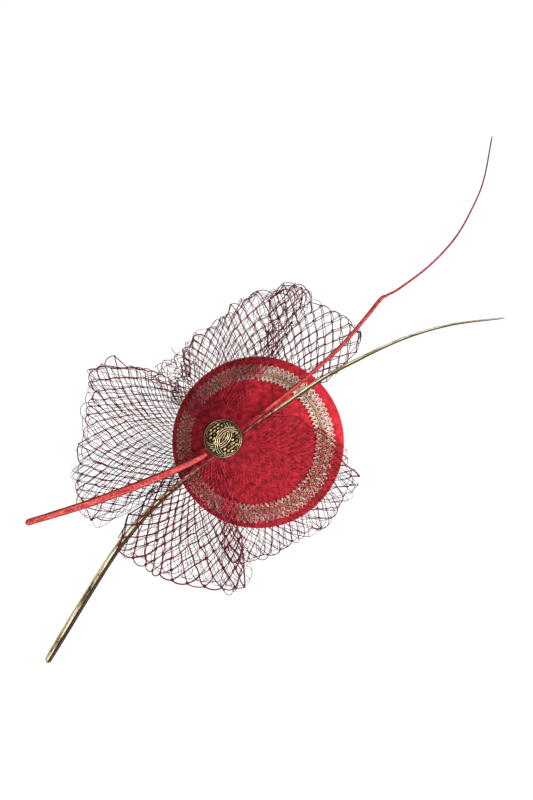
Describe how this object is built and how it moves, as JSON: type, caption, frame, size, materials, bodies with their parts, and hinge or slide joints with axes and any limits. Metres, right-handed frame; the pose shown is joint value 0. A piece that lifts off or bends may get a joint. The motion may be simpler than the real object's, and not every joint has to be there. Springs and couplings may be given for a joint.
{
  "type": "fascinator headpiece",
  "caption": "Round off-centre red hat base with a metallic lace ring, bow loops of veiling, two long quills, a brass dome button and a sprung hair clip.",
  "frame": {"origin": "middle of the hair clip's grip plane, between its closed jaws, under the centre of the round base", "axes": "+Z away from the head, +X toward the quills' tips, +Y toward the top of the piece along the clip"},
  "size_m": [0.3455, 0.3806, 0.0346],
  "materials": {
    "red_fabric": "satin",
    "buckram": "matte",
    "covered_wire": "satin",
    "lining_satin": "satin",
    "lace_metallic": "satin",
    "cord_gold": "satin",
    "veiling": "matte",
    "red_thread": "matte",
    "quill_red": "satin",
    "quill_gold": "satin",
    "antique_brass": "satin",
    "felt": "matte",
    "grosgrain": "matte",
    "clip_nickel": "gloss",
    "spring_steel": "gloss"
  },
  "bodies": {
    "headpiece": {"base_cover": "red_fabric", "base_core": "buckram", "edge_wire": "covered_wire", "lining": "lining_satin", "trim_outer_lace": "lace_metallic", "trim_cord": "cord_gold", "trim_inner_lace": "lace_metallic", "net_gather": "veiling", "gather_thread": "red_thread", "net_loop_left": "veiling", "net_loop_top": "veiling", "net_loop_bottom": "veiling", "net_loop_right": "veiling", "net_loop_under": "veiling", "red_quill": "quill_red", "gold_quill": "quill_gold", "quill_stitch_red": "red_thread", "quill_stitch_gold": "red_thread", "button_thread": "red_thread", "clip_pad": "felt", "clip_strap": "grosgrain", "clip_base": "clip_nickel", "clip_pin": "clip_nickel", "clip_spring": "spring_steel"},
    "button": {"button_cap": "antique_brass", "button_back": "antique_brass", "button_shank": "antique_brass"},
    "lever": {"clip_lever": "clip_nickel"}
  },
  "joints": [
    {"name": "clip_lever_open", "type": "hinge", "parent": "headpiece", "child": "lever", "pos_m": [0, -0.01, -0.0022], "axis": [-1, 0, 0], "range_deg": [0, 24], "stiffness_Nm_per_rad": 0.04, "springref_deg": -20.05, "deforming": ["clip_spring"]},
    {"name": "button_turn", "type": "hinge", "parent": "headpiece", "child": "button", "pos_m": [-0.0249, 0.0033, 0.019], "axis": [0, 0, 1], "range_deg": [-12, 12], "stiffness_Nm_per_rad": 0.002}
  ]
}
